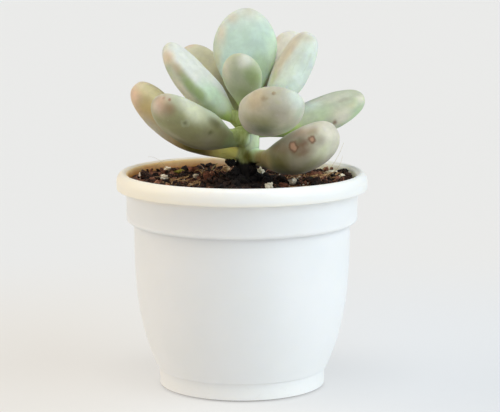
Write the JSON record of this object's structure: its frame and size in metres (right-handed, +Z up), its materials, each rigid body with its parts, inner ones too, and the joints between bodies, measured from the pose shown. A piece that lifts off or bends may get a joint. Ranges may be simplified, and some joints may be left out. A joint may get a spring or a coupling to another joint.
{
  "type": "potted moonstone plant",
  "caption": "Potted succulent: a rosette of fat, waxy, blunt leaves on a short stem, in gritty soil in a white tapering plastic pot with a rolled rim, a collar and a foot ring.",
  "frame": {"origin": "on the pot's axis, on the surface that the pot stands on", "axes": "+Z up along the pot's axis; -Y is the front that the picture shows, +X to its right"},
  "size_m": [0.1, 0.1, 0.1495],
  "materials": {
    "white_plastic": "satin",
    "potting_soil": "matte",
    "stem": "matte",
    "leaf_pale_green": "satin",
    "leaf_olive_green": "satin",
    "leaf_grey_green": "satin",
    "leaf_peach_green": "satin",
    "perlite": "matte",
    "bark": "matte",
    "moss": "matte"
  },
  "bodies": {
    "root": {"pot": "white_plastic", "soil": "potting_soil", "stem": "stem", "leaf_back_tall": "leaf_pale_green", "leaf_young_front": "leaf_olive_green", "leaf_bud_left": "leaf_pale_green", "leaf_bud_right": "leaf_pale_green", "leaf_bud_front": "leaf_pale_green", "leaf_upper_left": "leaf_grey_green", "leaf_left_behind": "leaf_olive_green", "leaf_right_behind": "leaf_peach_green", "leaf_upper_right": "leaf_pale_green", "leaf_low_left": "leaf_peach_green", "leaf_front_left": "leaf_olive_green", "leaf_front": "leaf_grey_green", "leaf_low_right": "leaf_olive_green", "leaf_right": "leaf_grey_green", "leaf_back_low_left": "leaf_grey_green", "leaf_back_low_right": "leaf_grey_green", "perlite_01": "perlite", "perlite_02": "perlite", "perlite_03": "perlite", "perlite_04": "perlite", "perlite_05": "perlite", "perlite_06": "perlite", "perlite_07": "perlite", "perlite_08": "perlite", "perlite_09": "perlite", "bark_01": "bark", "bark_02": "bark", "bark_03": "bark", "bark_04": "bark", "bark_05": "bark", "moss_01": "moss"}
  },
  "joints": []
}
